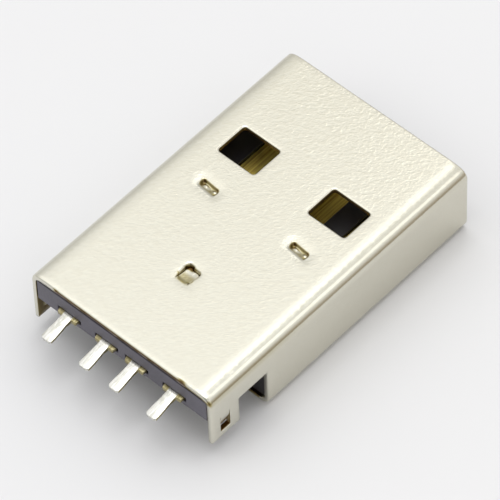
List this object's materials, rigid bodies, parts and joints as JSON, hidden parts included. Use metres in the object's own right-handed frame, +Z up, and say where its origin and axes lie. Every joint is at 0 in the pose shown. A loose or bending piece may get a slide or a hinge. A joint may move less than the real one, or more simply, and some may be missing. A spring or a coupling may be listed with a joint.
{
  "type": "usb-a connector",
  "caption": "Board-mount USB-A plug: folded metal shell with latch windows and side legs, moulded tongue, flat contacts and gull-wing solder tails.",
  "frame": {"origin": "middle of the plug's box, on the plane that its lower panel rests on", "axes": "+Y along the plug towards the mouth, +Z up from the lower panel, +X towards the ground contact"},
  "size_m": [0.012, 0.0206, 0.0045],
  "materials": {
    "nickel_shell": "nickel plated steel sheet, satin",
    "black_moulding": "black glass-filled moulding",
    "plated_contact": "gold flash on the blade, tin on the tail"
  },
  "bodies": {
    "root": {"shell": "nickel_shell", "insulator": "black_moulding", "contact_vbus": "plated_contact", "contact_d_minus": "plated_contact", "contact_d_plus": "plated_contact", "contact_ground": "plated_contact"}
  },
  "joints": []
}
